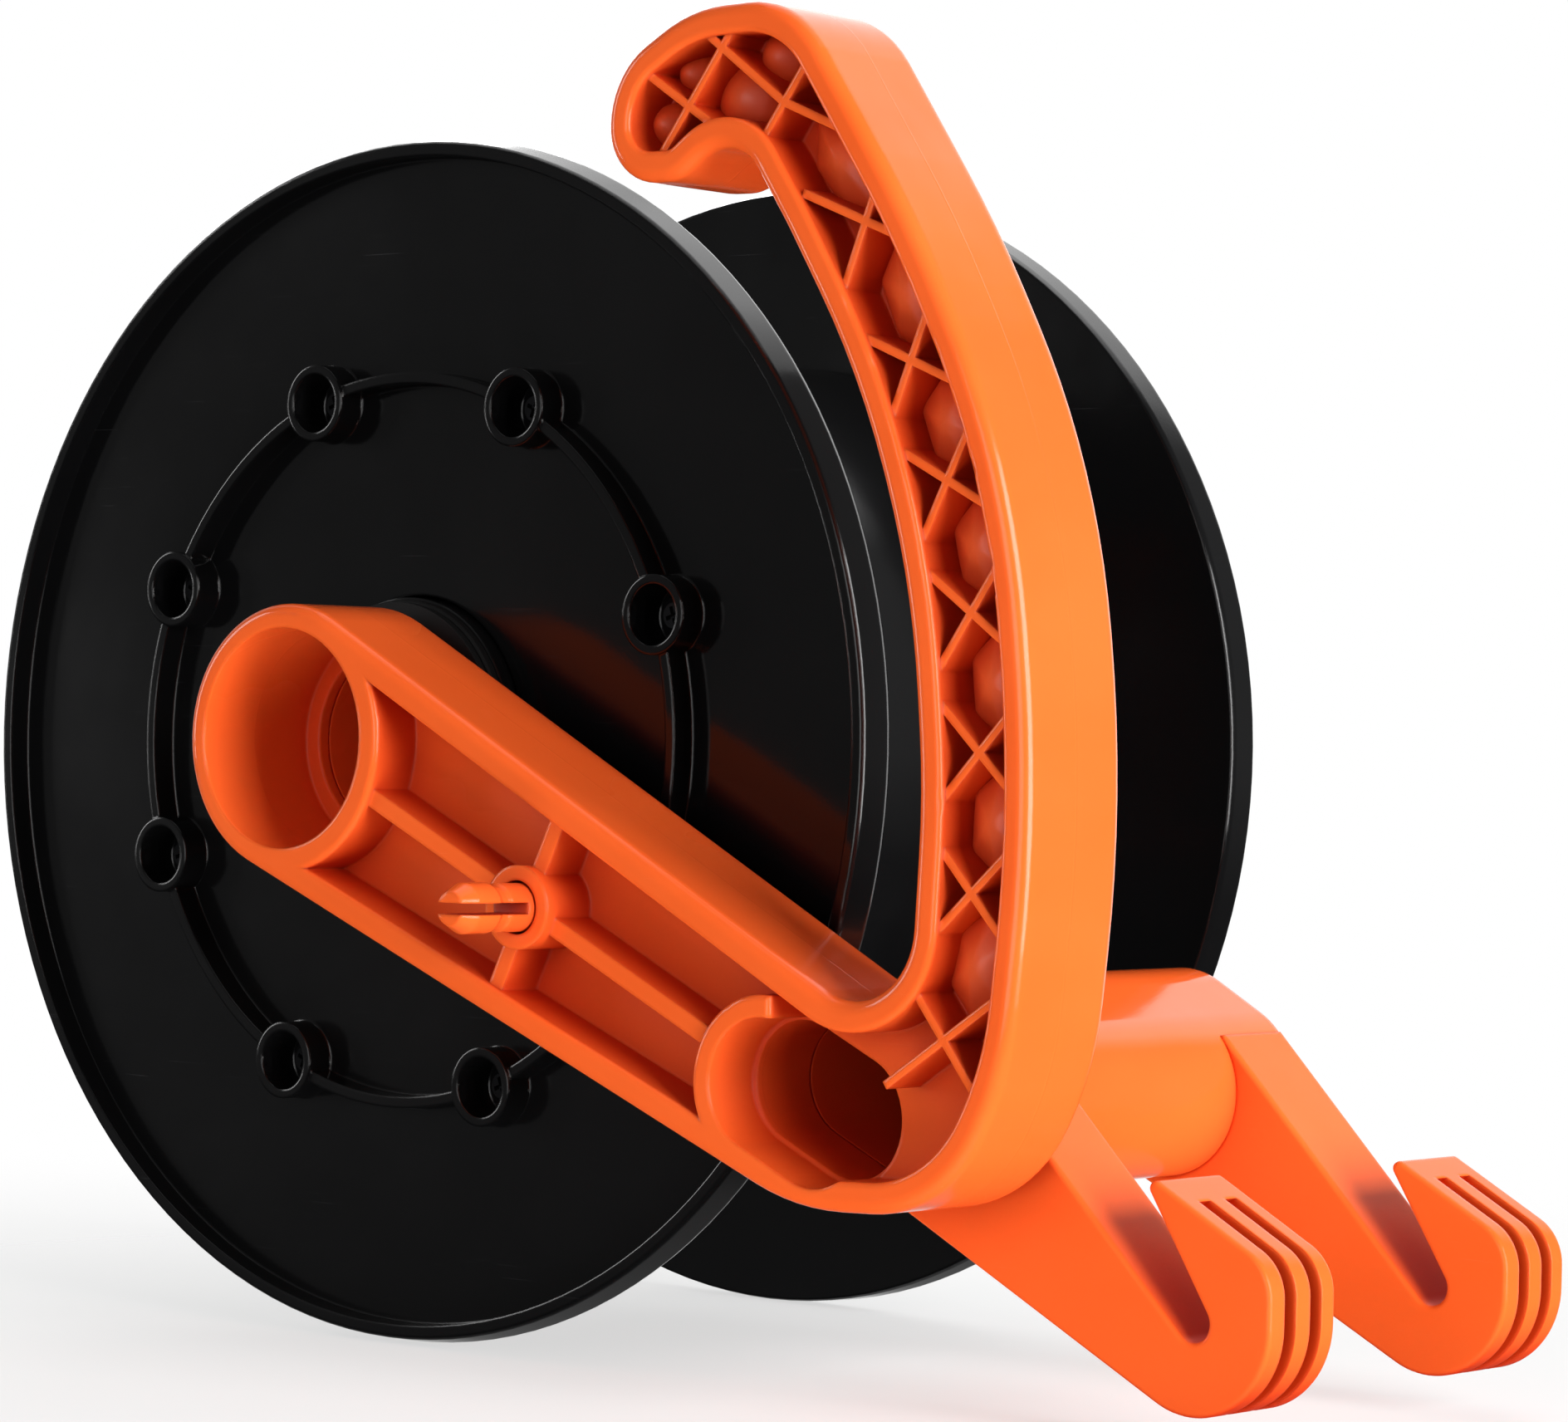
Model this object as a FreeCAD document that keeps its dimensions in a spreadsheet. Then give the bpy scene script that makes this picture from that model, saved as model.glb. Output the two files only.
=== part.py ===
import FreeCAD, Part
import math
import os
import Sketcher

# Hand reel for measuring tape.  Millimetres, +Z up.
# Origin: centre of the hub socket's mouth, on the spool's axis.  +Y runs along that axis from the
# frame's arm towards the spool, +X points from the hub towards the grip.

# ---------------------------------------------------------------- driving dimensions (spreadsheet)
SIZES = {
    # frame plate: arm, junction and grip share one depth along Y
    "plate_depth": 27.0,
    "recess_depth": 10.5,
    "web_thickness": 3.0,
    "wall": 5.4,
    "rib_width": 3.4,
    "rib_setback": 1.4,
    "lattice_width": 1.5,
    "rim_round": 2.4,
    "rim_back_round": 3.0,
    "inner_round": 1.0,
    # hub and hollow spindle
    "hub_radius": 25.3,
    "hub_back": 30.0,
    "hub_collar_radius": 22.0,
    "socket_radius": 20.8,
    "socket_depth": 27.3,
    "spindle_radius": 20.0,
    "spindle_bore": 17.2,
    "spindle_end": 154.0,
    "spindle_wall_start": 144.0,
    "retainer_hole": 2.5,
    # cross tube, oval in section
    "tube_radius": 15.6,
    "sleeve_radius": 16.2,
    "tube_bore": 10.9,
    "tube_recess": 11.7,
    "tube_recess_depth": 12.0,
    "tube_end": 123.6,
    "tube_end_wall": 4.0,
    # hooks
    "hook_thickness": 19.3,
    "front_hook_start": 31.1,
    "rear_hook_start": 104.3,
    "fin_thickness": 4.2,
    "fin_round": 0.8,
    # lock pin and its boss
    "pin_circle": 69.0,
    "pin_boss_radius": 7.6,
    "pin_boss_rise": 1.0,
    "pin_mouth_radius": 4.9,
    "pin_mouth_depth": 11.0,
    "pin_collar_bore": 5.3,
    "pin_collar_bore_start": 17.0,
    "pin_guide_bore": 4.5,
    "pin_shank_radius": 4.4,
    "pin_collar_radius": 5.2,
    "pin_collar_start": 17.3,
    "pin_collar_end": 21.0,
    "pin_nose_chamfer": 0.8,
    "pin_back": 30.2,
    "pin_barb_radius": 4.6,
    "pin_tip_radius": 3.0,
    "pin_tip": -18.2,
    "pin_barb_full": -15.0,
    "pin_barb_back": -9.6,
    "pin_neck_radius": 3.95,
    "pin_neck_front": -8.4,
    "pin_neck_back": -6.8,
    "pin_neck_slope": 0.4,
    "pin_slot_width": 2.1,
    "pin_slot_end": -2.2,
    # spool
    "flange_radius": 116.0,
    "rim_edge_radius": 115.0,
    "rear_edge_radius": 116.2,
    "rim_lip": 2.6,
    "rim_height": 7.0,
    "rim_corner": 0.4,
    "rim_bead": 0.1,
    "rim_bead_height": 0.7,
    "rim_waist": 1.2,
    "disc_thickness": 2.4,
    "spool_front": 32.0,
    "spool_back": 152.0,
    "flange_hole": 28.0,
    "boss_circle": 69.7,
    "boss_radius": 7.5,
    "boss_bore": 5.75,
    "boss_rise": 5.8,
    "boss_floor": 2.5,
    "boss_back": 2.8,
    "boss_count": 8,
    "boss_angle": -24.5,
    "boss_hole": 2.2,
    "boss_foot_wall": 0.75,
    "ring_rib_width": 2.2,
    "ring_rib_rise": 5.1,
    "drum_radius": 79.0,
    "drum_wall": 2.5,
    "drum_web": 3.0,
    "drum_spoke": 3.0,
    "drum_hub_radius": 27.5,
    "drum_hub_bore": 23.5,
    "post_radius": 5.0,
    "post_hole": 1.7,
    "post_hole_depth": 18.0,
    # flange screws
    "screw_head_radius": 3.6,
    "screw_crown_radius": 2.4,
    "screw_head_height": 2.6,
    "screw_head_side": 1.6,
    "screw_clearance": 0.05,
    "screw_thread_end": 14.5,
    "screw_point": 16.0,
    "screw_drive_reach": 1.8,
    "screw_drive_half": 0.4,
    "screw_drive_depth": 1.3,
    # bushes, washers and retaining screw
    "bush_bore": 20.06,
    "bush_radius": 23.45,
    "bush_collar_radius": 27.0,
    "bush_collar": 1.8,
    "bush_length": 16.0,
    "thrust_thickness": 1.5,
    "thrust_bore": 20.2,
    "thrust_radius": 26.5,
    "bush_chamfer": 0.4,
    "float_gap": 0.3,
    "retainer_radius": 26.0,
    "retainer_thickness": 2.0,
    "retainer_clearance": 0.2,
    "retainer_chamfer": 0.5,
    "retaining_point": 0.6,
    "retaining_head_radius": 5.2,
    "retaining_crown_radius": 3.6,
    "retaining_head_side": 2.2,
    "retaining_head_height": 3.4,
    "retaining_drive_reach": 2.6,
    "retaining_drive_half": 0.55,
    "retaining_drive_depth": 1.8,
    "cap_radius": 33.0,
    "cap_wall": 1.8,
    "cap_height": 13.0,
    "cap_foot": 1.6,
    "cap_foot_height": 1.4,
    "cap_foot_slope": 2.2,
    "cap_draft": 0.6,
    "cap_shoulder": 2.6,
    "cap_shoulder_height": 2.4,
    "cap_inner_shoulder": 4.0,
    "cap_middle_radius": 10.0,
    "cap_crown": 0.8,
    "cap_crown_under": 1.0,
    # winding knob
    "knob_circle": 94.0,
    "knob_boss_radius": 11.0,
    "knob_boss_rise": 10.0,
    "knob_bolt_radius": 5.0,
    "knob_bore": 5.06,
    "knob_length": 62.0,
    "knob_thread_radius": 4.0,
    "knob_nut_radius": 7.4,
    "knob_nut_depth": 6.0,
    "knob_nut_clearance": 0.2,
    "knob_washer_thickness": 1.5,
    "knob_washer_radius": 9.0,
    "knob_washer_clearance": 0.1,
    "knob_play": 0.3,
    "knob_cap_recess": 9.6,
    "knob_cap_depth": 7.0,
    "knob_head_radius": 8.0,
    "knob_head_height": 4.0,
    "knob_head_chamfer": 1.0,
    "knob_socket_radius": 3.4,
    "knob_socket_depth": 2.6,
    "knob_thread_length": 12.2,
    "knob_thread_chamfer": 0.6,
    "knob_cap_radius": 9.55,
    "knob_cap_side": 2.2,
    "knob_cap_slope": 0.2,
    "knob_cap_crown": 0.8,
    "knob_cap_crown_side": 0.6,
    "knob_cap_crown_radius": 6.0,
}

# ------------------------------------------------------------------------- shape of the frame (mm)
ARM_LOWER_ANGLE = -21.85        # lower edge of the arm, degrees from +X towards +Z
ARM_UPPER_ANGLE = -27.5         # upper edge of the arm
RIB_ANGLE = -25.2               # rib along the arm's middle

# Corners (x, z, rounding radius) of the plate from the junction's underside, up the grip's outer
# edge, round its hooked top and down its inner edge.
JUNCTION_X = 127.5
JUNCTION_ROUND = 48.0
GRIP_CORNERS = [
    (160.5, -77.4, 28.0),
    (173.5, -52.0, 57.0),
    (178.2, -6.0, 230.0),
    (171.0, 50.0, 150.0),
    (148.3, 92.0, 230.0),
    (121.5, 130.6, 21.0),
    (97.5, 130.2, 30.0),
    (78.9, 120.0, 16.0),
    (78.9, 100.2, 10.4),
    (95.5, 99.9, 9.0),
    (108.3, 108.9, 9.5),
    (121.0, 90.5, 90.0),
    (137.5, 64.5, 150.0),
    (150.0, 29.0, 150.0),
    (153.3, -6.0, 150.0),
]
CROTCH_X = 151.2
CROTCH_ROUND = 13.5

ARM_RIB_REACH = (-52.0, 48.0)   # ends of the arm's long rib, measured from the lock pin
CROSS_RIB_REACH = 24.0          # half length of the rib across it
# Crossing points (x, z) of the grip's lattice and the half length of each rib
CROSSINGS = [(138.0, 91.0), (148.6, 67.0), (157.0, 46.6), (162.8, 24.4), (165.2, 1.0), (164.2, -22.6)]
LATTICE_REACH = 15.0
# Ribs of the hooked top and of the grip's foot, each from (x, z) to (x, z)
HEAD_RIBS = [
    ((87.0, 119.5), (106.0, 107.5)),
    ((89.0, 102.0), (109.0, 128.5)),
    ((99.0, 127.0), (119.0, 112.5)),
    ((119.0, 112.5), (136.0, 105.5)),
    ((112.5, 103.5), (126.0, 121.5)),
]
FOOT_RIBS = [
    ((151.0, -37.5), (167.0, -57.5)),
    ((146.6, -55.8), (171.0, -39.3)),
]

TUBE = [(119.9, -57.4), (131.6, -62.8)]         # centres (x, z) of the oval bore's round ends
SLEEVE = [(121.0, -56.2), (130.8, -61.7)]       # the same for the outside of the cross tube

# Corners (x, z) of the region in which the tube's wall reaches the front of the plate
RING_SIDE = [(121.8, -30.0), (90.0, -30.0), (90.0, -90.0), (121.8, -90.0)]
PIN_ANGLE = -25.0               # direction of the lock pin from the hub
KNOB_TURN = -45.0               # direction of the winding knob on the flange before it is placed
KNOB_SEAT = "( spool_front + rim_height - disc_thickness - knob_boss_rise )"
# The winding knob's radius at distances from its inner end
KNOB_PROFILE = [(12.4, 0.0), (14.2, 2.2), (14.2, 5.0), (11.4, 16.0), (11.2, 30.0), (13.8, 46.0),
                (15.6, 54.0), (14.6, 60.0), (12.6, 62.0)]

# Each hook: centre (x, z) of the slot's round bottom, and how far from the bore's rear centre the
# upper edge of its arm passes
HOOKS = {
    "front": ((190.1, -94.2), 15.6),
    "rear": ((190.1, -93.3), 17.0),
}
SLOT_RADIUS = 3.4
HOOK_RADIUS = 16.0
SLOT_OUTER_ANGLE = -57.8        # the slot's outer edge
HOOK_LOWER_ANGLE = -27.0        # lower edge of the hook's arm
HOOK_ROOT_X = 111.0             # where the lower edge turns up to the tube
HOOK_ROOT_ROUND = 8.0
FIN_ANGLE = -28.4               # top edge of the fins
FIN_RADIUS = 9.0
TIP = (183.6, -71.7)            # a point on the fins' top edge
TIP_ROUND = 1.3
CAP_DEPTH = 3.4                 # depth of the flat cap that joins the fins at their tip
GROOVE_WALL = 3.5               # left standing between the slot and the grooves
FIN_EDGE_REACH = 14.5           # the fins' outer edges lie beyond this from the slot's centre,
FIN_EDGE_X = 186.0              # and to the right of this
GROOVE_HEEL = (5.0, 9.0)        # how far the grooves run past the slot's bottom, inside and outside
GROOVE_HEEL_ROUND = 2.0
COLLAR_OVERLAP = 2.0            # how far the hub's collar reaches into the plate

DOC = FreeCAD.newDocument("tape_reel")
SHEET = DOC.addObject("Spreadsheet::Sheet", "sizes")
ORIGIN_POINT = (-1, 1)          # Sketcher's index of the sketch origin


# ------------------------------------------------------------------------------- document helpers
def fill_sheet():
    for row, (alias, number) in enumerate(SIZES.items(), start=1):
        SHEET.set("A%d" % row, alias)
        SHEET.set("B%d" % row, str(number))
        SHEET.setAlias("B%d" % row, alias)
    DOC.recompute()


def bound(text):
    """Expression text with every alias pointed at the sheet."""
    return " ".join("sizes." + word if word in SIZES else word for word in text.split())


def value(text):
    """Number that an expression of aliases gives, such as 'hub_radius + 2'."""
    return float(SHEET.evalExpression(" ".join(text.split())))


def new_body(label):
    body = DOC.addObject("PartDesign::Body", label)
    body.Label = label
    return body


def origin_item(body, role):
    for feature in body.Origin.OriginFeatures:
        if feature.Role == role:
            return feature
    raise ValueError(role)


def sketch_at(body, name, role="XZ_Plane", station=None):
    """Sketch on an origin plane; station is the plane's place along +Y, for XZ planes only."""
    sketch = body.newObject("Sketcher::SketchObject", name)
    sketch.AttachmentSupport = [(origin_item(body, role), "")]
    sketch.MapMode = "FlatFace"
    if station is not None:
        sketch.setExpression("AttachmentOffset.Base.z", "-(%s)" % bound(station))
    DOC.recompute()
    return sketch


def point(x, z):
    return FreeCAD.Vector(x, z, 0.0)


def pin_distance(sketch, kind, index, place, text):
    """Driving distance from the sketch's origin, bound to the sheet."""
    number = value(text)
    if abs(number) < 1e-9:
        other = -2 if kind == "DistanceX" else -1
        sketch.addConstraint(Sketcher.Constraint("PointOnObject", index, place, other))
        return
    row = sketch.addConstraint(Sketcher.Constraint(kind, *ORIGIN_POINT, index, place, number))
    sketch.setExpression("Constraints[%d]" % row, bound(text))


def add_circle(sketch, radius, x="0", z="0"):
    normal = FreeCAD.Vector(0, 0, 1)
    circle = Part.Circle(point(value(x), value(z)), normal, value(radius))
    index = sketch.addGeometry(circle, False)
    pin_distance(sketch, "DistanceX", index, 3, x)
    pin_distance(sketch, "DistanceY", index, 3, z)
    row = sketch.addConstraint(Sketcher.Constraint("Radius", index, value(radius)))
    sketch.setExpression("Constraints[%d]" % row, bound(radius))
    return index


def add_profile(sketch, corners):
    """Closed polygon whose corners are pairs of expressions, each bound to the sheet."""
    places = [point(value(x), value(z)) for x, z in corners]
    first = sketch.GeometryCount
    count = len(corners)
    for i in range(count):
        sketch.addGeometry(Part.LineSegment(places[i], places[(i + 1) % count]), False)
    for i in range(count):
        following = first + (i + 1) % count
        sketch.addConstraint(Sketcher.Constraint("Coincident", first + i, 2, following, 1))
    for i, (x, z) in enumerate(corners):
        pin_distance(sketch, "DistanceX", first + i, 1, x)
        pin_distance(sketch, "DistanceY", first + i, 1, z)


def add_edges(sketch, edges):
    """Closed chain of lines and arcs, joined end to end."""
    first = sketch.GeometryCount
    for edge in edges:
        sketch.addGeometry(edge, False)
    return first


def pad(body, sketch, length, back=True):
    """Pad towards +Y when back is true, otherwise towards -Y."""
    feature = body.newObject("PartDesign::Pad", sketch.Name + "_pad")
    feature.Profile = sketch
    feature.setExpression("Length", bound(length))
    feature.Reversed = back
    DOC.recompute()
    return feature


def pocket(body, sketch, length, back=True):
    """Pocket towards +Y when back is true; stops the build if it removes nothing."""
    before = body.Shape.Volume
    feature = body.newObject("PartDesign::Pocket", sketch.Name + "_pocket")
    feature.Profile = sketch
    feature.setExpression("Length", bound(length))
    feature.Reversed = not back
    DOC.recompute()
    if body.Shape.Volume > before - 1e-3:
        raise ValueError(feature.Name + " cuts nothing")
    return feature


def revolve(body, sketch, axis="V_Axis"):
    feature = body.newObject("PartDesign::Revolution", sketch.Name + "_revolution")
    feature.Profile = sketch
    feature.ReferenceAxis = (sketch, [axis])
    feature.Angle = 360.0
    DOC.recompute()
    return feature


def polar(body, features, count="boss_count"):
    """Repeat features round the Y axis."""
    pattern = body.newObject("PartDesign::PolarPattern", features[-1].Name + "_pattern")
    pattern.Originals = features
    pattern.Axis = (origin_item(body, "Y_Axis"), [""])
    pattern.Angle = 360.0
    pattern.setExpression("Occurrences", bound(count))
    body.Tip = pattern
    DOC.recompute()
    return pattern


def fillet(body, radius, edge_names):
    base = body.Tip
    feature = body.newObject("PartDesign::Fillet", "round_%d" % len(body.Group))
    feature.Base = (base, edge_names)
    feature.setExpression("Radius", bound(radius))
    DOC.recompute()
    return feature


def turned(label, corners):
    """Body of revolution round Y; corners are (radius, station) expressions."""
    body = new_body(label)
    sketch = sketch_at(body, label + "_section", "XY_Plane")
    add_profile(sketch, corners)
    revolve(body, sketch)
    return body


# ------------------------------------------------------------------------------- outline geometry
def unit(degrees):
    angle = math.radians(degrees)
    return math.cos(angle), math.sin(angle)


def crossing(start, start_angle, other, other_angle):
    """Where two lines, each a point and a direction in degrees, cross."""
    ux, uz = unit(start_angle)
    vx, vz = unit(other_angle)
    reach = ((other[0] - start[0]) * vz - (other[1] - start[1]) * vx) / (ux * vz - uz * vx)
    return start[0] + reach * ux, start[1] + reach * uz


def beside(centre, radius, degrees):
    ux, uz = unit(degrees)
    return centre[0] + radius * ux, centre[1] + radius * uz


def rounded(corners):
    """Lines and tangent arcs round a closed polygon of (x, z, radius) corners."""
    spans = []
    count = len(corners)
    for i, (x, z, radius) in enumerate(corners):
        here = FreeCAD.Vector(x, z, 0)
        to_last = (FreeCAD.Vector(corners[i - 1][0], corners[i - 1][1], 0) - here).normalize()
        following = corners[(i + 1) % count]
        to_next = (FreeCAD.Vector(following[0], following[1], 0) - here).normalize()
        if radius <= 0:
            spans.append((here, None, here))
            continue
        half = to_last.getAngle(to_next) / 2
        reach = radius / math.tan(half)
        middle = here + (to_last + to_next).normalize() * (radius / math.sin(half) - radius)
        spans.append((here + to_last * reach, middle, here + to_next * reach))
    edges = []
    for i, (start, middle, end) in enumerate(spans):
        if middle is not None:
            edges.append(Part.Arc(start, middle, end))
        onward = spans[(i + 1) % count][0]
        if end.distanceToPoint(onward) > 1e-4:
            edges.append(Part.LineSegment(end, onward))
    return edges


def inset(corners, distance):
    """The same outline moved inwards, for a polygon listed anticlockwise."""
    moved = []
    count = len(corners)
    for i, (x, z, radius) in enumerate(corners):
        last = corners[i - 1]
        following = corners[(i + 1) % count]
        angle_in = math.degrees(math.atan2(z - last[1], x - last[0]))
        angle_out = math.degrees(math.atan2(following[1] - z, following[0] - x))
        turn = (angle_out - angle_in + 180) % 360 - 180
        start = beside((x, z), distance, angle_in + 90)
        other = beside((x, z), distance, angle_out + 90)
        new_x, new_z = crossing(start, angle_in, other, angle_out)
        moved.append((new_x, new_z, radius - math.copysign(distance, turn)))
    return moved


def plate_corners():
    """Whole plate, anticlockwise: hub, arm's lower edge, junction, grip, arm's upper edge."""
    hub = value("hub_radius")
    lower = beside((0, 0), hub, ARM_LOWER_ANGLE - 90)
    upper = beside((0, 0), hub, ARM_UPPER_ANGLE + 90)
    left = (-hub, 0.0)
    junction = crossing(lower, ARM_LOWER_ANGLE, (JUNCTION_X, 0), 90)
    crotch = crossing(upper, ARM_UPPER_ANGLE, (CROTCH_X, 0), 90)
    return (
        [(*crossing(lower, ARM_LOWER_ANGLE, left, 90), hub), (*junction, JUNCTION_ROUND)]
        + GRIP_CORNERS
        + [(*crotch, CROTCH_ROUND), (*crossing(upper, ARM_UPPER_ANGLE, left, 90), hub)]
    )


def bar(start, end, width):
    """Four corners of a straight rib from start to end."""
    angle = math.degrees(math.atan2(end[1] - start[1], end[0] - start[0]))
    half = width / 2
    return [
        (*beside(start, half, angle - 90), 0), (*beside(end, half, angle - 90), 0),
        (*beside(end, half, angle + 90), 0), (*beside(start, half, angle + 90), 0),
    ]


def oval(radius, centres):
    """Oval, two half circles and two straights, round a pair of centres."""
    front, rear = centres
    angle = math.degrees(math.atan2(rear[1] - front[1], rear[0] - front[0]))
    tops = [beside(centre, radius, angle + 90) for centre in centres]
    feet = [beside(centre, radius, angle - 90) for centre in centres]
    near = beside(front, radius, angle + 180)
    far = beside(rear, radius, angle)
    return [
        Part.Arc(point(*tops[0]), point(*near), point(*feet[0])),
        Part.LineSegment(point(*feet[0]), point(*feet[1])),
        Part.Arc(point(*feet[1]), point(*far), point(*tops[1])),
        Part.LineSegment(point(*tops[1]), point(*tops[0])),
    ]


def upper_edge_angle(centre, tangent):
    """Angle of the hook arm's upper edge, from beside the tube to the slot's round bottom."""
    dx = centre[0] - TUBE[1][0]
    dz = centre[1] - TUBE[1][1]
    across = tangent + SLOT_RADIUS
    return math.degrees(math.atan2(dz, dx) + math.acos(across / math.hypot(dx, dz))) - 90


def hook_corners(centre, tangent):
    """Hook's arm, slot and round end, anticlockwise from the tube's underside."""
    slope = upper_edge_angle(centre, tangent)
    slot_low = beside(centre, SLOT_RADIUS, slope - 90)
    slot_side = beside(centre, SLOT_RADIUS, SLOT_OUTER_ANGLE + 90)
    bottom = beside(centre, HOOK_RADIUS, HOOK_LOWER_ANGLE - 90)
    right = (centre[0] + HOOK_RADIUS, centre[1])
    root = crossing(bottom, HOOK_LOWER_ANGLE, (HOOK_ROOT_X, 0), 90)
    return [
        (*root, HOOK_ROOT_ROUND),
        (*crossing(bottom, HOOK_LOWER_ANGLE, right, 90), HOOK_RADIUS),
        (*crossing(TIP, FIN_ANGLE, right, 90), FIN_RADIUS),
        (*crossing(TIP, FIN_ANGLE, slot_side, SLOT_OUTER_ANGLE), TIP_ROUND),
        (*crossing(slot_low, slope, slot_side, SLOT_OUTER_ANGLE), SLOT_RADIUS),
        (*beside(TUBE[1], tangent, slope + 90), 0),
        (*TUBE[0], 0),
        (HOOK_ROOT_X, SLEEVE[0][1], 0),
    ]


def groove_corners(centre):
    """Groove between two fins: it follows the slot at a wall's distance and opens outwards."""
    gap = SLOT_RADIUS + GROOVE_WALL
    side = beside(centre, gap, SLOT_OUTER_ANGLE + 90)
    low = centre[1] - gap
    outside = centre[0] + HOOK_RADIUS + GROOVE_HEEL[0]
    below = centre[1] - HOOK_RADIUS - GROOVE_HEEL[0]
    return [
        (*crossing(side, SLOT_OUTER_ANGLE, (0, TIP[1] - CAP_DEPTH), 0), 0),
        (*crossing(side, SLOT_OUTER_ANGLE, (0, low), 0), gap),
        (centre[0] - GROOVE_HEEL[0], low, GROOVE_HEEL_ROUND),
        (centre[0] - GROOVE_HEEL[1], below, 0),
        (outside, below, 0),
        (outside, TIP[1], 0),
        (centre[0] + CAP_DEPTH, TIP[1], 0),
    ]


def face_of(edges):
    wire = Part.Wire(Part.__sortEdges__([edge.toShape() for edge in edges]))
    return Part.Face(wire)


def disc(radius, x=0.0, z=0.0):
    circle = Part.Circle(point(x, z), FreeCAD.Vector(0, 0, 1), radius)
    return Part.Face(Part.Wire([circle.toShape()]))


def sketch_edges(face):
    """Sketch geometry of every edge round a flat region."""
    found = []
    for region in face.Faces:
        for edge in region.Edges:
            start, end = edge.ParameterRange
            if isinstance(edge.Curve, Part.Line):
                ends = [vertex.Point for vertex in edge.Vertexes]
                found.append(Part.LineSegment(ends[0], ends[1]))
            elif edge.Closed:
                found.append(Part.Circle(edge.Curve.Center, FreeCAD.Vector(0, 0, 1), edge.Curve.Radius))
            else:
                middle = edge.valueAt((start + end) / 2)
                found.append(Part.Arc(edge.valueAt(start), middle, edge.valueAt(end)))
    return found


# ------------------------------------------------------------------------------------------- frame
def hollow_region(front):
    """Flat region of the plate that is hollowed out, before the ribs are left standing."""
    region = face_of(rounded(inset(plate_corners(), value("wall"))))
    region = region.cut(disc(value("hub_radius")))
    region = region.cut(disc(value("pin_boss_radius"), *pin_place()))
    tube = face_of(oval(value("tube_radius"), TUBE))
    if front:
        # the tube's wall reaches the front on the arm's side only
        left = face_of([
            Part.LineSegment(point(*a), point(*b))
            for a, b in zip(RING_SIDE, RING_SIDE[1:] + RING_SIDE[:1])
        ])
        tube = tube.common(left)
    return region.cut(tube)


def pin_place():
    return beside((0, 0), value("pin_circle"), PIN_ANGLE)


def pin_place_text():
    """The same place as a pair of expressions."""
    across, up = unit(PIN_ANGLE)
    return "pin_circle * %.6f" % across, "pin_circle * %.6f" % up


def rib_region():
    """Flat region taken by all the ribs."""
    along, ahead = [beside(pin_place(), reach, RIB_ANGLE) for reach in ARM_RIB_REACH]
    above = beside(pin_place(), CROSS_RIB_REACH, RIB_ANGLE + 90)
    under = beside(pin_place(), CROSS_RIB_REACH, RIB_ANGLE - 90)
    width = value("rib_width")
    bars = [bar(along, ahead, width), bar(above, under, width)]
    lattice = value("lattice_width")
    for i, centre in enumerate(CROSSINGS):
        before = CROSSINGS[max(i - 1, 0)]
        after = CROSSINGS[min(i + 1, len(CROSSINGS) - 1)]
        heading = math.degrees(math.atan2(after[1] - before[1], after[0] - before[0]))
        for turn in (45, -45):
            start = beside(centre, LATTICE_REACH, heading + turn)
            end = beside(centre, LATTICE_REACH, heading + turn + 180)
            bars.append(bar(start, end, lattice))
    for start, end in HEAD_RIBS + FOOT_RIBS:
        bars.append(bar(start, end, lattice))
    faces = [face_of(rounded(corners)) for corners in bars]
    return faces[0].multiFuse(faces[1:])


def make_frame():
    body = new_body("frame")
    outline = sketch_at(body, "plate_outline", station="0")
    add_edges(outline, rounded(plate_corners()))
    pad(body, outline, "plate_depth")
    round_plate_edges(body)
    hollow_plate(body)
    add_hub_and_bosses(body)
    cut_bores(body)


def flat_edges(body, station, inner):
    """Names of the edges lying at a station, on the plate's outer or inner loops."""
    names = []
    shape = body.Shape
    loops = []
    for face in shape.Faces:
        flat = isinstance(face.Surface, Part.Plane) and face.BoundBox.YLength < 1e-6
        if flat and abs(face.BoundBox.YMin - station) < 1e-6:
            for wire in face.Wires:
                if wire.isSame(face.OuterWire) != inner:
                    loops.extend(wire.Edges)
    for i, edge in enumerate(shape.Edges, start=1):
        if any(edge.isSame(other) for other in loops):
            names.append("Edge%d" % i)
    return names


def round_plate_edges(body):
    fillet(body, "rim_round", flat_edges(body, 0.0, False))
    fillet(body, "rim_back_round", flat_edges(body, value("plate_depth"), False))


def hollow_plate(body):
    """Hollow both sides of the plate; the ribs' tops stay a little below the rim."""
    ribs = rib_region()
    depth = value("plate_depth")
    for side, station, back in (("front", "0", True), ("rear", "plate_depth", False)):
        region = hollow_region(back)
        shallow = sketch_at(body, side + "_mouth", station=station)
        add_edges(shallow, sketch_edges(region))
        pocket(body, shallow, "rib_setback", back)
        fillet(body, "inner_round", flat_edges(body, 0.0 if back else depth, True))
        deep = sketch_at(body, side + "_cells", station=station)
        add_edges(deep, sketch_edges(region.cut(ribs)))
        floor = "recess_depth" if back else "plate_depth - recess_depth - web_thickness"
        pocket(body, deep, floor, back)


def add_hub_and_bosses(body):
    collar = sketch_at(body, "hub_collar", station="plate_depth - %g" % COLLAR_OVERLAP)
    add_circle(collar, "hub_collar_radius")
    pad(body, collar, "hub_back - plate_depth + %g" % COLLAR_OVERLAP)
    tube = sketch_at(body, "tube_boss", station="recess_depth")
    add_edges(tube, oval(value("tube_radius"), TUBE))
    pad(body, tube, "plate_depth - recess_depth")
    boss = sketch_at(body, "pin_boss", station="0 - pin_boss_rise")
    add_circle(boss, "pin_boss_radius", *pin_place_text())
    pad(body, boss, "plate_depth + pin_boss_rise")


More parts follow.
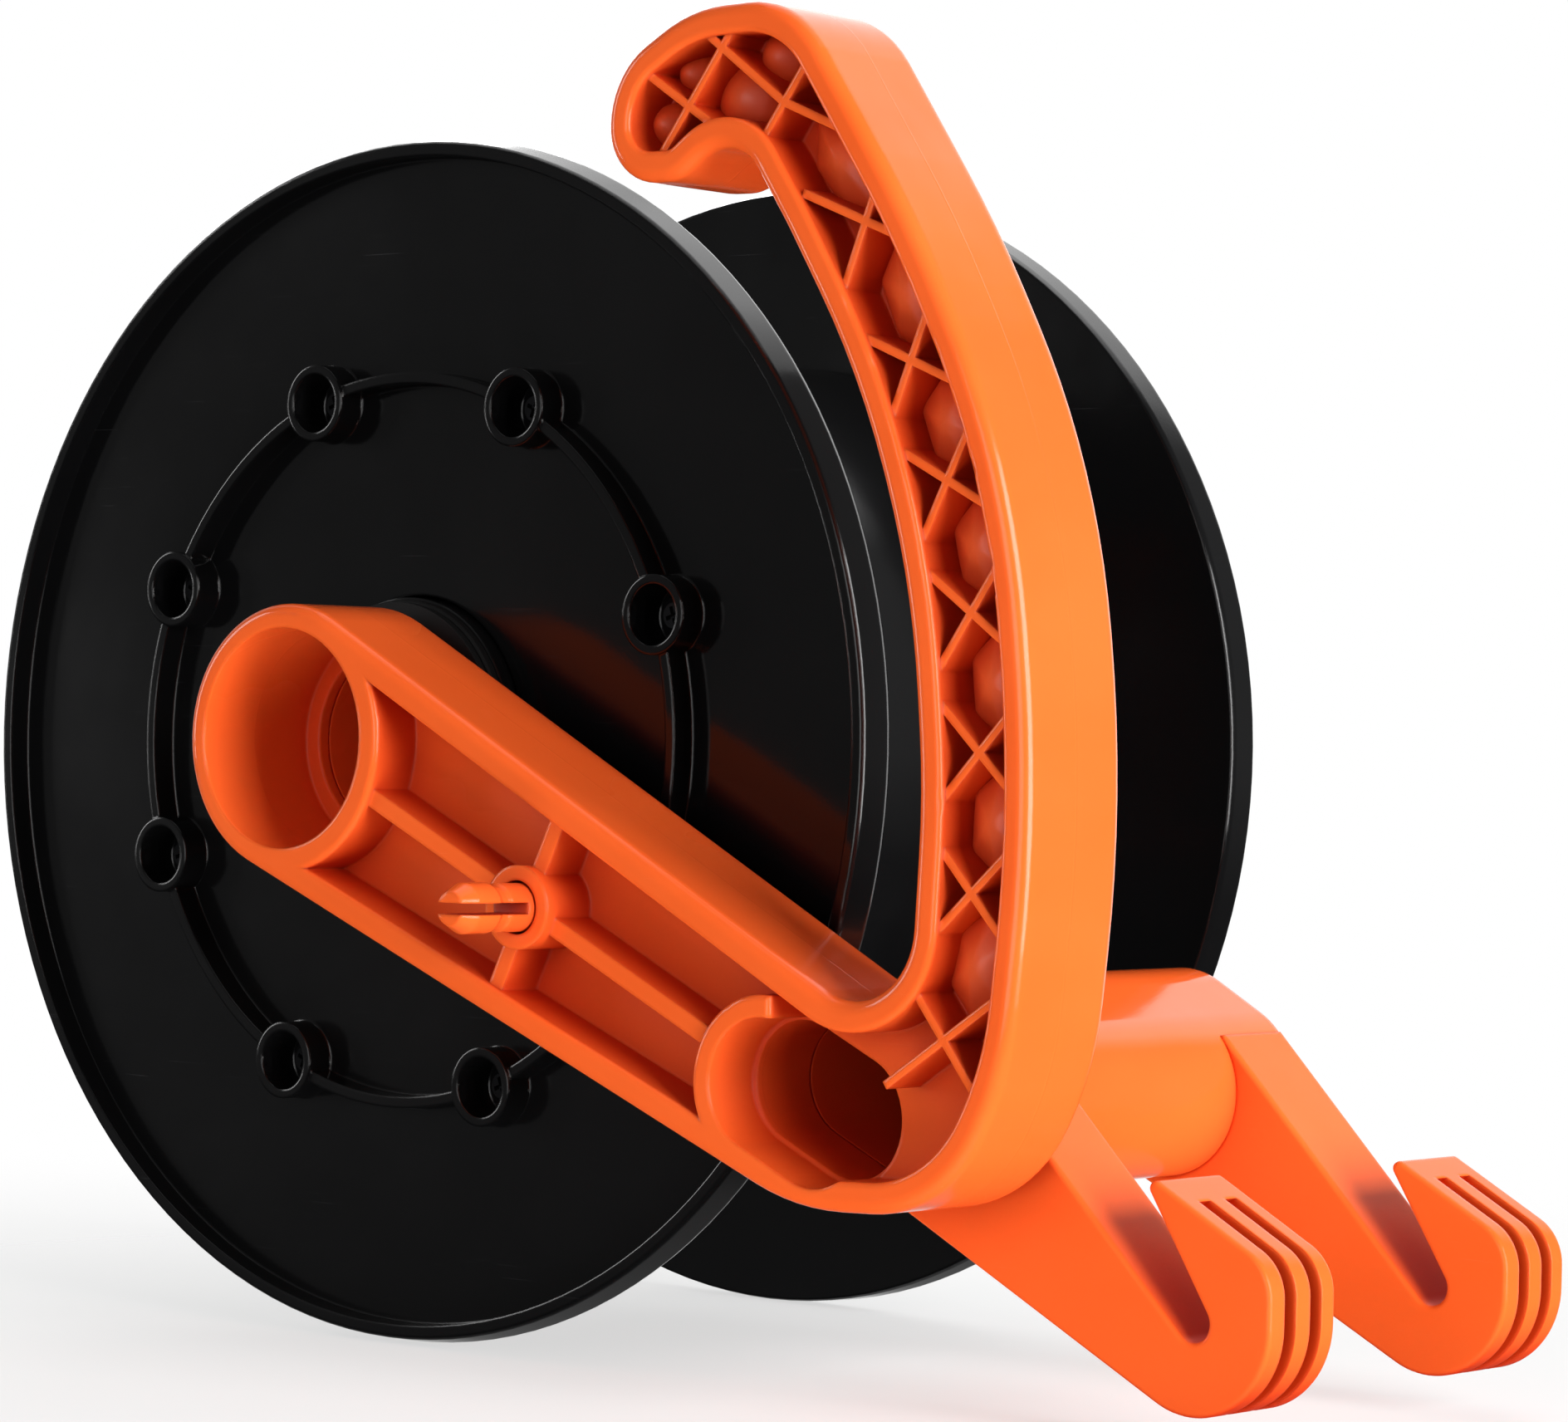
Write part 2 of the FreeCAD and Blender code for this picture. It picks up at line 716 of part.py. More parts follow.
def cut_bores(body):
    across, up = pin_place_text()
    mouth = "0 - pin_boss_rise - 1"
    bores = (
        ("hub_socket", "socket_radius", "0", "socket_depth", "0", "0"),
        ("hub_bore", "spindle_bore", "socket_depth - 1", "hub_back + 1", "0", "0"),
        ("pin_mouth", "pin_mouth_radius", mouth, "pin_mouth_depth", across, up),
        ("pin_guide", "pin_guide_bore", "0", "plate_depth", across, up),
        ("pin_collar_bore", "pin_collar_bore", "pin_collar_bore_start", "plate_depth + 1", across, up),
    )
    for name, radius, start, end, x, z in bores:
        sketch = sketch_at(body, name + "_cut", station=start)
        add_circle(sketch, radius, x, z)
        pocket(body, sketch, "%s - ( %s )" % (end, start))
    for name, radius, depth in (
        ("tube_mouth", "tube_recess", "tube_recess_depth"),
        ("tube_socket", "tube_bore", "plate_depth + 1"),
    ):
        sketch = sketch_at(body, name + "_cut", station="0")
        add_edges(sketch, oval(value(radius), TUBE))
        pocket(body, sketch, depth)


def make_spindle():
    """Hollow spindle on the back of the hub, and the wall that closes its end."""
    turned("spindle", [
        ("spindle_bore", "hub_back"),
        ("spindle_radius", "hub_back"),
        ("spindle_radius", "spindle_wall_start"),
        ("spindle_bore", "spindle_wall_start"),
    ])
    turned("spindle_end", [
        ("retainer_hole", "spindle_wall_start"),
        ("spindle_radius", "spindle_wall_start"),
        ("spindle_radius", "spindle_end"),
        ("retainer_hole", "spindle_end"),
    ])


def make_cross_tube():
    """Oval tube that carries the hooks, closed at its far end."""
    body = new_body("cross_tube")
    outside = sketch_at(body, "sleeve", station="plate_depth")
    add_edges(outside, oval(value("sleeve_radius"), SLEEVE))
    pad(body, outside, "tube_end - plate_depth")
    hollow = sketch_at(body, "tube_hollow", station="plate_depth")
    add_edges(hollow, oval(value("tube_bore"), TUBE))
    pocket(body, hollow, "tube_end - tube_end_wall - plate_depth")


def make_hook(side):
    """Flat arm standing on the cross tube; two grooves part its round end into three fins."""
    centre, tangent = HOOKS[side]
    body = new_body(side + "_hook")
    start = side + "_hook_start"
    arm = sketch_at(body, side + "_arm", station=start)
    tube = face_of(oval(value("sleeve_radius"), SLEEVE))
    add_edges(arm, sketch_edges(face_of(rounded(hook_corners(centre, tangent))).cut(tube)))
    pad(body, arm, "hook_thickness")
    pitch = "( hook_thickness - fin_thickness ) / 2"
    for i in range(2):
        station = "%s + fin_thickness + %d * %s" % (start, i, pitch)
        groove = sketch_at(body, "%s_groove_%d" % (side, i + 1), station=station)
        add_edges(groove, rounded(groove_corners(centre)))
        pocket(body, groove, pitch + " - fin_thickness")
    fillet(body, "fin_round", fin_edges(body, side))


def fin_edges(body, side):
    """Names of the edges round the front and back faces of a hook's round end."""
    centre = HOOKS[side][0]
    start = value(side + "_hook_start")
    faces = (start, start + value("hook_thickness"))
    names = []
    for i, edge in enumerate(body.Shape.Edges, start=1):
        middle = edge.valueAt(sum(edge.ParameterRange) / 2)
        flat = edge.BoundBox.YLength < 1e-4
        on_face = any(abs(middle.y - station) < 1e-3 for station in faces)
        outer = math.hypot(middle.x - centre[0], middle.z - centre[1]) > FIN_EDGE_REACH
        if flat and on_face and outer and middle.x > FIN_EDGE_X:
            names.append("Edge%d" % i)
    return names


# ---------------------------------------------------------------------------------------- lock pin
def make_lock_pin():
    """Split pin with a snap head, a neck, a collar that runs in the frame and a nose for the spool."""
    body = turned("lock_pin", [
        ("0", "pin_tip"),
        ("pin_tip_radius", "pin_tip"),
        ("pin_barb_radius", "pin_barb_full"),
        ("pin_barb_radius", "pin_barb_back"),
        ("pin_neck_radius", "pin_neck_front"),
        ("pin_neck_radius", "pin_neck_back"),
        ("pin_shank_radius", "pin_neck_back + pin_neck_slope"),
        ("pin_shank_radius", "pin_collar_start"),
        ("pin_collar_radius", "pin_collar_start"),
        ("pin_collar_radius", "pin_collar_end"),
        ("pin_shank_radius", "pin_collar_end"),
        ("pin_shank_radius", "pin_back - pin_nose_chamfer"),
        ("pin_shank_radius - pin_nose_chamfer", "pin_back"),
        ("0", "pin_back"),
    ])
    slot = sketch_at(body, "pin_slot", station="pin_tip - 1")
    add_profile(slot, [
        ("0 - pin_collar_radius * 2", "0 - pin_slot_width / 2"),
        ("pin_collar_radius * 2", "0 - pin_slot_width / 2"),
        ("pin_collar_radius * 2", "pin_slot_width / 2"),
        ("0 - pin_collar_radius * 2", "pin_slot_width / 2"),
    ])
    pocket(body, slot, "pin_slot_end - pin_tip + 1")
    x, z = pin_place()
    body.Placement = FreeCAD.Placement(FreeCAD.Vector(x, 0, z), FreeCAD.Rotation())


# ------------------------------------------------------------------------------------------- spool
def spool_turn():
    """The spool stands with one boss in line with the lock pin."""
    turn = FreeCAD.Rotation(FreeCAD.Vector(0, 1, 0), -value("boss_angle"))
    return FreeCAD.Placement(FreeCAD.Vector(), turn)


def rear_turn():
    """Turns a piece of the front end of the spool over on to the rear end."""
    over = FreeCAD.Rotation(FreeCAD.Vector(0, 0, 1), 180)
    shift = FreeCAD.Vector(0, value("spool_front + spool_back"), 0)
    return spool_turn() * FreeCAD.Placement(shift, over)


def knob_turn():
    """Places a piece of the winding knob, which is made round its own axis."""
    x, z = beside((0, 0), value("knob_circle"), KNOB_TURN)
    return rear_turn() * FreeCAD.Placement(FreeCAD.Vector(x, 0, z), FreeCAD.Rotation())


def make_flange(label, placement, with_knob_boss):
    """Disc with a raised rim, a ring rib and a circle of hollow screw bosses."""
    front = "spool_front"
    inner = "spool_front + rim_height"
    outer = "spool_front + rim_height - disc_thickness"
    lip = "rim_edge_radius - rim_lip"
    edge = "rear_edge_radius" if with_knob_boss else "rim_edge_radius"
    half = "ring_rib_width / 2"
    body = turned(label, [
        ("flange_hole", inner),
        ("flange_hole", outer),
        ("boss_circle - " + half, outer),
        ("boss_circle - " + half, "spool_front + rim_height - disc_thickness - ring_rib_rise"),
        ("boss_circle + " + half, "spool_front + rim_height - disc_thickness - ring_rib_rise"),
        ("boss_circle + " + half, outer),
        (lip, outer),
        (lip, front),
        (edge + " - rim_corner", front),
        (edge + " + rim_bead", "spool_front + rim_bead_height"),
        ("flange_radius", "spool_front + rim_height - rim_waist"),
        ("flange_radius - rim_corner", inner),
    ])
    boss = sketch_at(body, "screw_boss", station=outer + " - boss_rise")
    add_circle(boss, "boss_radius", "boss_circle")
    first = pad(body, boss, "boss_rise + disc_thickness")
    polar(body, [first])
    back = sketch_at(body, "boss_foot", station=inner)
    add_circle(back, "boss_bore + boss_foot_wall", "boss_circle")
    foot = pad(body, back, "boss_back")
    polar(body, [foot])
    bore = sketch_at(body, "counterbore", station=outer + " - boss_rise")
    add_circle(bore, "boss_bore", "boss_circle")
    depth = "boss_rise + disc_thickness + boss_back - boss_floor"
    wide = pocket(body, bore, depth)
    polar(body, [wide])
    hole = sketch_at(body, "screw_hole", station=outer)
    add_circle(hole, "boss_hole", "boss_circle")
    narrow = pocket(body, hole, "disc_thickness + boss_back + 1")
    polar(body, [narrow])
    if with_knob_boss:
        add_knob_boss(body, outer, inner)
    body.Placement = placement


def add_knob_boss(body, outer, inner):
    """Boss that carries the knob's bolt, with a hexagonal nut pocket on the spool's inner side."""
    turn = math.radians(KNOB_TURN)
    across = "knob_circle * %.6f" % math.cos(turn)
    up = "knob_circle * %.6f" % math.sin(turn)
    boss = sketch_at(body, "knob_boss", station=outer + " - knob_boss_rise")
    add_circle(boss, "knob_boss_radius", across, up)
    pad(body, boss, "knob_boss_rise + disc_thickness")
    hole = sketch_at(body, "knob_bolt_hole", station=outer + " - knob_boss_rise - 1")
    add_circle(hole, "knob_thread_radius + knob_nut_clearance", across, up)
    pocket(body, hole, "knob_boss_rise + disc_thickness + 2")
    nut = sketch_at(body, "nut_pocket", station=inner)
    add_profile(nut, hexagon("knob_nut_radius + knob_nut_clearance", across, up))
    pocket(body, nut, "knob_nut_depth", False)


def hexagon(radius, x="0", z="0"):
    corners = []
    for step in range(6):
        across, up = unit(60 * step)
        corners.append(("( %s ) * %.6f + %s" % (radius, across, x), "( %s ) * %.6f + %s" % (radius, up, z)))
    return corners


def make_drum():
    """Core of the spool: winding wall, bearing tube, middle web, screw posts and spokes."""
    start = "spool_front + rim_height"
    end = "spool_back - rim_height"
    tube_start = "hub_back + thrust_thickness + float_gap + bush_collar"
    tube_end = "spool_front + spool_back - ( %s )" % tube_start
    web_start = "( spool_front + spool_back - drum_web ) / 2"
    web_end = "( spool_front + spool_back + drum_web ) / 2"
    inside = "drum_radius - drum_wall"
    body = turned("drum", [
        ("drum_hub_bore", tube_start),
        ("drum_hub_radius", tube_start),
        ("drum_hub_radius", web_start),
        (inside, web_start),
        (inside, start),
        ("drum_radius", start),
        ("drum_radius", end),
        (inside, end),
        (inside, web_end),
        ("drum_hub_radius", web_end),
        ("drum_hub_radius", tube_end),
        ("drum_hub_bore", tube_end),
    ])
    post = sketch_at(body, "screw_post", station=start + " + boss_back")
    add_circle(post, "post_radius", "boss_circle")
    first = pad(body, post, "%s - ( %s ) - 2 * boss_back" % (end, start))
    polar(body, [first])
    spoke = sketch_at(body, "spoke", station=start + " + 2 * boss_back")
    add_profile(spoke, [
        ("drum_hub_radius - 1", "0 - drum_spoke / 2"),
        ("drum_radius - 1", "0 - drum_spoke / 2"),
        ("drum_radius - 1", "drum_spoke / 2"),
        ("drum_hub_radius - 1", "drum_spoke / 2"),
    ])
    rib = pad(body, spoke, "%s - ( %s ) - 4 * boss_back" % (end, start))
    polar(body, [rib])
    for side, station, back in (("front", start + " + boss_back", True),
                                ("rear", end + " - boss_back", False)):
        hole = sketch_at(body, side + "_post_hole", station=station)
        add_circle(hole, "post_hole", "boss_circle")
        cut = pocket(body, hole, "post_hole_depth", back)
        polar(body, [cut])
    body.Placement = spool_turn()


def make_screws(label, placement):
    """Eight identical pan-headed screws, one in each boss."""
    body = new_body(label)
    body.AllowCompound = True
    sketch = sketch_at(body, label + "_section", "XY_Plane")
    sketch.setExpression("AttachmentOffset.Base.x", bound("boss_circle"))
    seat = "spool_front + rim_height + boss_back - boss_floor"
    add_profile(sketch, [
        ("0", seat + " - screw_head_height"),
        ("screw_crown_radius", seat + " - screw_head_height"),
        ("screw_head_radius", seat + " - screw_head_side"),
        ("screw_head_radius", seat),
        ("post_hole - screw_clearance", seat),
        ("post_hole - screw_clearance", seat + " + screw_thread_end"),
        ("0", seat + " + screw_point"),
    ])
    head = revolve(body, sketch)
    recess = sketch_at(body, label + "_drive", station=seat + " - screw_head_height")
    add_profile(recess, cross_outline("screw_drive_reach", "screw_drive_half", "boss_circle"))
    drive = pocket(body, recess, "screw_drive_depth")
    polar(body, [head, drive])
    body.Placement = placement


def cross_outline(reach, half, x):
    """Twelve corners of a screwdriver cross centred at x on the first axis."""
    quarter = [(reach, half), (half, half), (half, reach)]
    corners = []
    for a, b in quarter:
        corners.append((a, b))
    for a, b in reversed(quarter):
        corners.append(("0 - " + a, b))
    for a, b in quarter:
        corners.append(("0 - " + a, "0 - " + b))
    for a, b in reversed(quarter):
        corners.append((a, "0 - " + b))
    return [("%s + %s" % (a, x), b) for a, b in corners]


# ---------------------------------------------------------------------- bearings and spindle's end
def make_bush(label, placement):
    """Collared plain bearing between the drum's tube and the spindle."""
    collar = "hub_back + thrust_thickness + float_gap"
    body = turned(label, [
        ("bush_bore", collar),
        ("bush_collar_radius - bush_chamfer", collar),
        ("bush_collar_radius", collar + " + bush_chamfer"),
        ("bush_collar_radius", collar + " + bush_collar"),
        ("bush_radius", collar + " + bush_collar"),
        ("bush_radius", collar + " + bush_collar + bush_length"),
        ("bush_bore", collar + " + bush_collar + bush_length"),
    ])
    body.Placement = placement


def make_thrust_washer(label, placement):
    body = turned(label, [
        ("thrust_bore", "hub_back"),
        ("thrust_radius", "hub_back"),
        ("thrust_radius", "hub_back + thrust_thickness"),
        ("thrust_bore", "hub_back + thrust_thickness"),
    ])
    body.Placement = placement


def make_retaining_washer():
    """Large washer that holds the rear thrust washer on the spindle."""
    turned("retaining_washer", [
        ("retainer_hole + retainer_clearance", "spindle_end"),
        ("retainer_radius", "spindle_end"),
        ("retainer_radius", "spindle_end + retainer_thickness - retainer_chamfer"),
        ("retainer_radius - retainer_chamfer", "spindle_end + retainer_thickness"),
        ("retainer_hole + retainer_clearance", "spindle_end + retainer_thickness"),
    ])


def make_retaining_screw():
    seat = "spindle_end + retainer_thickness"
    body = turned("retaining_screw", [
        ("0", "spindle_wall_start + 1"),
        ("retainer_hole - retaining_point", "spindle_wall_start + 1"),
        ("retainer_hole - screw_clearance", "spindle_wall_start + 2"),
        ("retainer_hole - screw_clearance", seat),
        ("retaining_head_radius", seat),
        ("retaining_head_radius", seat + " + retaining_head_side"),
        ("retaining_crown_radius", seat + " + retaining_head_height"),
        ("0", seat + " + retaining_head_height"),
    ])
    recess = sketch_at(body, "retaining_screw_drive", station=seat + " + retaining_head_height")
    add_profile(recess, cross_outline("retaining_drive_reach", "retaining_drive_half", "0"))
    pocket(body, recess, "retaining_drive_depth", False)


def make_hub_cap():
    """Shallow cup on the rear flange that covers the end of the spindle."""
    foot = "spool_back - rim_height + disc_thickness"
    top = foot + " + cap_height"
    turned("hub_cap", [
        ("cap_radius - cap_wall", foot),
        ("cap_radius + cap_foot", foot),
        ("cap_radius + cap_foot", foot + " + cap_foot_height"),
        ("cap_radius", foot + " + cap_foot_slope"),
        ("cap_radius - cap_draft", top + " - cap_shoulder_height"),
        ("cap_radius - cap_shoulder", top),
        ("cap_middle_radius", top + " + cap_crown"),
        ("0", top + " + cap_crown"),
        ("0", top + " - cap_crown_under"),
        ("cap_middle_radius", top + " - cap_crown_under"),
        ("cap_radius - cap_shoulder - cap_wall", top + " - cap_wall"),
        ("cap_radius - cap_wall", top + " - cap_inner_shoulder"),
    ])


# ----------------------------------------------------------------------------------- winding knob
def make_winding_knob():
    """Waisted grip that turns freely on the shoulder of its bolt."""
    near = "%s - knob_washer_thickness - knob_play" % KNOB_SEAT
    far = near + " - knob_length"
    outside = [("%g" % radius, "%s - %g" % (near, distance)) for radius, distance in KNOB_PROFILE]
    body = turned("winding_knob", [("knob_bore", near)] + outside + [
        ("knob_cap_recess", far),
        ("knob_cap_recess", far + " + knob_cap_depth"),
        ("knob_bore", far + " + knob_cap_depth"),
    ])
    body.Placement = knob_turn()


def make_knob_bolt():
    """Shoulder bolt: head, running shoulder and thread."""
    seat = KNOB_SEAT
    head = seat + " - knob_washer_thickness - knob_play - knob_length + knob_cap_depth"
    body = turned("knob_bolt", [
        ("0", head + " - knob_head_height"),
        ("knob_head_radius - knob_head_chamfer", head + " - knob_head_height"),
        ("knob_head_radius", head + " - knob_head_height + knob_head_chamfer"),
        ("knob_head_radius", head + " - knob_play"),
        ("knob_bolt_radius", head + " - knob_play"),
        ("knob_bolt_radius", seat),
        ("knob_thread_radius", seat),
        ("knob_thread_radius", seat + " + knob_thread_length - knob_thread_chamfer"),
        ("knob_thread_radius - knob_thread_chamfer", seat + " + knob_thread_length"),
        ("0", seat + " + knob_thread_length"),
    ])
    socket = sketch_at(body, "bolt_socket", station=head + " - knob_head_height")
    add_profile(socket, hexagon("knob_socket_radius"))
    pocket(body, socket, "knob_socket_depth")
    body.Placement = knob_turn()


def make_knob_washer():
    top = KNOB_SEAT + " - knob_washer_thickness"
    body = turned("knob_washer", [
        ("knob_bolt_radius + knob_washer_clearance", top),
        ("knob_washer_radius", top),
        ("knob_washer_radius", KNOB_SEAT),
        ("knob_bolt_radius + knob_washer_clearance", KNOB_SEAT),
    ])
    body.Placement = knob_turn()


def make_knob_nut():
    """Hexagonal nut in the flange's pocket, flush with the winding side."""
    body = new_body("knob_nut")
    outline = sketch_at(body, "nut_outline", station="spool_front + rim_height - knob_nut_depth")
    add_profile(outline, hexagon("knob_nut_radius"))
    add_circle(outline, "knob_thread_radius")
    pad(body, outline, "knob_nut_depth - knob_nut_clearance")
    body.Placement = knob_turn()


def make_knob_cap():
    """Plug in the knob's end that hides the bolt's head."""
    far = KNOB_SEAT + " - knob_washer_thickness - knob_play - knob_length"
    body = turned("knob_cap", [
        ("0", far + " - knob_cap_crown"),
        ("knob_cap_crown_radius", far + " - knob_cap_crown_side"),
        ("knob_cap_radius", far + " + knob_cap_slope"),
        ("knob_cap_radius", far + " + knob_cap_side"),
        ("0", far + " + knob_cap_side"),
    ])
    body.Placement = knob_turn()


# ------------------------------------------------------------------------------------------- build
def check_and_export():
    bodies = [item for item in DOC.Objects if item.TypeId == "PartDesign::Body"]
    for item in DOC.Objects:
        if "Invalid" in item.State or "Error" in item.State:
            raise ValueError("%s is %s" % (item.Name, item.State))
    for body in bodies:
        if body.Shape.isNull() or not body.Shape.isValid() or not body.Shape.Solids:
            raise ValueError(body.Label + " has no valid solid")
    os.makedirs("parts", exist_ok=True)
    for body in bodies:
        body.Shape.exportStep("parts/%s.step" % body.Label)
        print(body.Label, len(body.Shape.Solids), round(body.Shape.Volume))


def main():
    fill_sheet()
    make_frame()
    make_spindle()
    make_cross_tube()
    make_hook("front")
    make_hook("rear")
    make_lock_pin()
    make_flange("front_flange", spool_turn(), False)
    make_flange("rear_flange", rear_turn(), True)
    make_drum()
    make_screws("front_flange_screws", spool_turn())
    make_screws("rear_flange_screws", rear_turn())
    make_bush("front_bush", FreeCAD.Placement())
    make_bush("rear_bush", rear_turn())
    make_thrust_washer("front_thrust_washer", FreeCAD.Placement())
    make_thrust_washer("rear_thrust_washer", rear_turn())
    make_retaining_washer()
    make_retaining_screw()
    make_hub_cap()
    make_winding_knob()
    make_knob_bolt()
    make_knob_washer()
    make_knob_nut()
    make_knob_cap()
    DOC.recompute()
    check_and_export()


main()
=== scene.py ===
import math

import bpy
from mathutils import Matrix, Vector


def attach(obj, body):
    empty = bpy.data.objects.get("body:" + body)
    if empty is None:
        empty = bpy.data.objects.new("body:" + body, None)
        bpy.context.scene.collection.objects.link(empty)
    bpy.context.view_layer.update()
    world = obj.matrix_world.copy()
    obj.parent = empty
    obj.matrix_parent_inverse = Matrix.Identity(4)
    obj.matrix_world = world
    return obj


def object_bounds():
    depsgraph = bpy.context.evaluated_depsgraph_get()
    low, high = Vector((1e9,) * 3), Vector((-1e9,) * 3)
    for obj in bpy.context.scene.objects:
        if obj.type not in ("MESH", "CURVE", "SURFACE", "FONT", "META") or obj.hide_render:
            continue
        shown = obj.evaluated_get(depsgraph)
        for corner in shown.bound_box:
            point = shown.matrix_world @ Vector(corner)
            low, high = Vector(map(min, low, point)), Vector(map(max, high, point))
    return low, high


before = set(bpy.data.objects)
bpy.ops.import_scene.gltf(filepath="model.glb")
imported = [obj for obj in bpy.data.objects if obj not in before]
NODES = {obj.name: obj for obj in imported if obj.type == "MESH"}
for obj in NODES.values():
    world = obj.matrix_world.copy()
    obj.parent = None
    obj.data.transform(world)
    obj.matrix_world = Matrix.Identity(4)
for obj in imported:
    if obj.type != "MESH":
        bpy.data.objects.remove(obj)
CAD_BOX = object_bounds()

# ------------------------------------------------------------------------------------------ camera
CAMERA_PLACE = (0.68606, -0.66674, 0.00673)         # metres
AZIMUTH, ELEVATION, ROLL = 40.15, -0.03, 1.32       # degrees
LENS, SENSOR = 116.43, 36.0                         # millimetres
CLIP_NEAR, CLIP_FAR = 0.05, 20.0                    # metres


def make_camera():
    """Long lens at the height of the reel's axis, to the right of its front."""
    a, e, r = (math.radians(v) for v in (AZIMUTH, ELEVATION, ROLL))
    back = Vector((math.sin(a) * math.cos(e), -math.cos(a) * math.cos(e), math.sin(e)))
    right = Vector((math.cos(a), math.sin(a), 0.0))
    up = back.cross(right)
    across = right * math.cos(r) + up * math.sin(r)
    upward = up * math.cos(r) - right * math.sin(r)
    data = bpy.data.cameras.new("camera")
    data.lens = LENS
    data.sensor_width = SENSOR
    data.clip_start = CLIP_NEAR
    data.clip_end = CLIP_FAR
    camera = bpy.data.objects.new("camera", data)
    bpy.context.scene.collection.objects.link(camera)
    turn = Matrix((across, upward, back)).transposed().to_4x4()
    camera.matrix_world = Matrix.Translation(Vector(CAMERA_PLACE)) @ turn
    bpy.context.scene.camera = camera


# ------------------------------------------------------------------------------------ node helpers
class Tree:
    """Small helper that adds and joins shader nodes."""

    def __init__(self, tree):
        self.tree = tree
        tree.nodes.clear()

    def fill(self, socket, item):
        """Join a socket to another one, or set its value."""
        if isinstance(item, bpy.types.NodeSocket):
            self.tree.links.new(item, socket)
        else:
            socket.default_value = item

    def add(self, kind, inputs=None, **settings):
        node = self.tree.nodes.new(kind)
        for name, setting in settings.items():
            setattr(node, name, setting)
        for name, item in (inputs or {}).items():
            self.fill(node.inputs[name], item)
        return node

    def math(self, operation, a, b=0.0):
        return self.add("ShaderNodeMath", {0: a, 1: b}, operation=operation).outputs[0]

    def mix(self, factor, a, b):
        """Colour that goes from a to b; sockets 6 and 7 are the node's two colours."""
        node = self.add("ShaderNodeMix", {0: factor, 6: a, 7: b}, data_type="RGBA")
        return node.outputs[2]

    def ramp(self, value, low, high, out_low=0.0, out_high=1.0):
        inputs = {0: value, 1: low, 2: high, 3: out_low, 4: out_high}
        return self.add("ShaderNodeMapRange", inputs).outputs[0]

    def noise(self, vector, scale, detail=2.0, rough=0.5):
        inputs = {"Vector": vector, "Scale": scale, "Detail": detail, "Roughness": rough}
        return self.add("ShaderNodeTexNoise", inputs).outputs[0]

    def stretched(self, vector, scale, turn=(0.0, 0.0, 0.0)):
        inputs = {"Vector": vector, "Scale": scale, "Rotation": turn}
        return self.add("ShaderNodeMapping", inputs).outputs[0]


def new_material(name):
    """Empty node material, its tree helper and its object coordinates."""
    material = bpy.data.materials.new(name)
    material.use_nodes = True
    t = Tree(material.node_tree)
    return material, t, t.add("ShaderNodeTexCoord").outputs["Object"]


# --------------------------------------------------------------------------------------- materials
# Scales are in cells per metre, lengths in metres, turns in radians, shares from 0 to 1.
# Heights are shares of BUMP_DISTANCE.
FLOW_SCALE = (14.0, 14.0, 30.0)
FLOW_RANGE = (0.3, 0.7)
SCRATCH_TURNS = ((0.3, 0.9, 0.2), (1.2, -0.4, 1.1), (-0.7, 0.2, 2.3))
SCRATCH_SCALE = (45.0, 2600.0, 2600.0)
SCRATCH_RANGE = (0.76, 0.82)
SCRATCHED_AREA_SCALE = 22.0
SCRATCHED_AREA_RANGE = (0.46, 0.62)
SCRATCH_PALENESS = 0.22
SCRATCH_DEPTH = 0.02
DUST_SCALE = 240.0
DUST_RADIUS = 0.07              # share of a cell
DUST_SOFT_EDGE = 0.6            # share of the radius that is fully dusty
DUST_SHARE = 0.035              # cells that hold a speck
DUST_SHARE_EDGE = 0.01
DUST_PALENESS = 0.7
WEAR_ROUGHNESS = 0.5
# Painted shade in recesses: an occlusion mask darkens the colour towards deep red, and the same mask
# raises roughness there
RECESS_REACH = 0.034
RECESS_SAMPLES = 6
PAINTED_SHADE_RANGE = (0.20, 0.74)
RECESS_DULL_RANGE = (0.40, 0.85)
RECESS_DULLING = 0.38
SMEAR_SCALE = 9.0
SMEAR_RANGE = (0.35, 0.75)
SMEAR_ROUGHNESS = 0.09
GRAIN_SCALE = 1500.0
GRAIN_HEIGHT = 0.012
SINK_SCALE = 34.0
SINK_HEIGHT = 0.35
PARTING_RANGE = (0.0003, 0.0001)
PARTING_HEIGHT = 0.03
EDGE_SAMPLES = 8
BUMP_STRENGTH = 0.6
BUMP_DISTANCE = 0.0012
PLASTIC_IOR = 1.49
SCATTER_RADIUS = (1.0, 0.25, 0.08)
SCATTER_SCALE = 0.0015

TARNISH_SCALE = 160.0
TARNISH_RANGE = (0.35, 0.7)
TARNISH_SHADE = 0.72
TARNISH_ROUGHNESS = 0.4
TURNING_SCALE = (60.0, 2600.0, 60.0)
TURNING_RANGE = (0.3, 1.1)
TURNING_SMOOTHER, TURNING_ROUGHER = 0.08, 0.14
TURNING_STRENGTH = 0.25
TURNING_DISTANCE = 0.0003


def scratches(t, place):
    """Mask of thin broken streaks in several directions."""
    total = None
    for turn in SCRATCH_TURNS:
        streak = t.ramp(t.noise(t.stretched(place, SCRATCH_SCALE, turn), 1.0, 1.0), *SCRATCH_RANGE)
        area = t.ramp(t.noise(place, SCRATCHED_AREA_SCALE), *SCRATCHED_AREA_RANGE)
        one = t.math("MULTIPLY", streak, area)
        total = one if total is None else t.math("MAXIMUM", total, one)
    return total


def specks(t, place):
    """Mask of tiny round dust specks in a share of the cells."""
    inputs = {"Vector": place, "Scale": DUST_SCALE, "Randomness": 1.0}
    cells = t.add("ShaderNodeTexVoronoi", inputs)
    near = t.ramp(cells.outputs["Distance"], DUST_RADIUS, DUST_RADIUS * DUST_SOFT_EDGE)
    chosen = t.ramp(cells.outputs["Color"], DUST_SHARE, DUST_SHARE - DUST_SHARE_EDGE)
    return t.math("MULTIPLY", near, chosen)


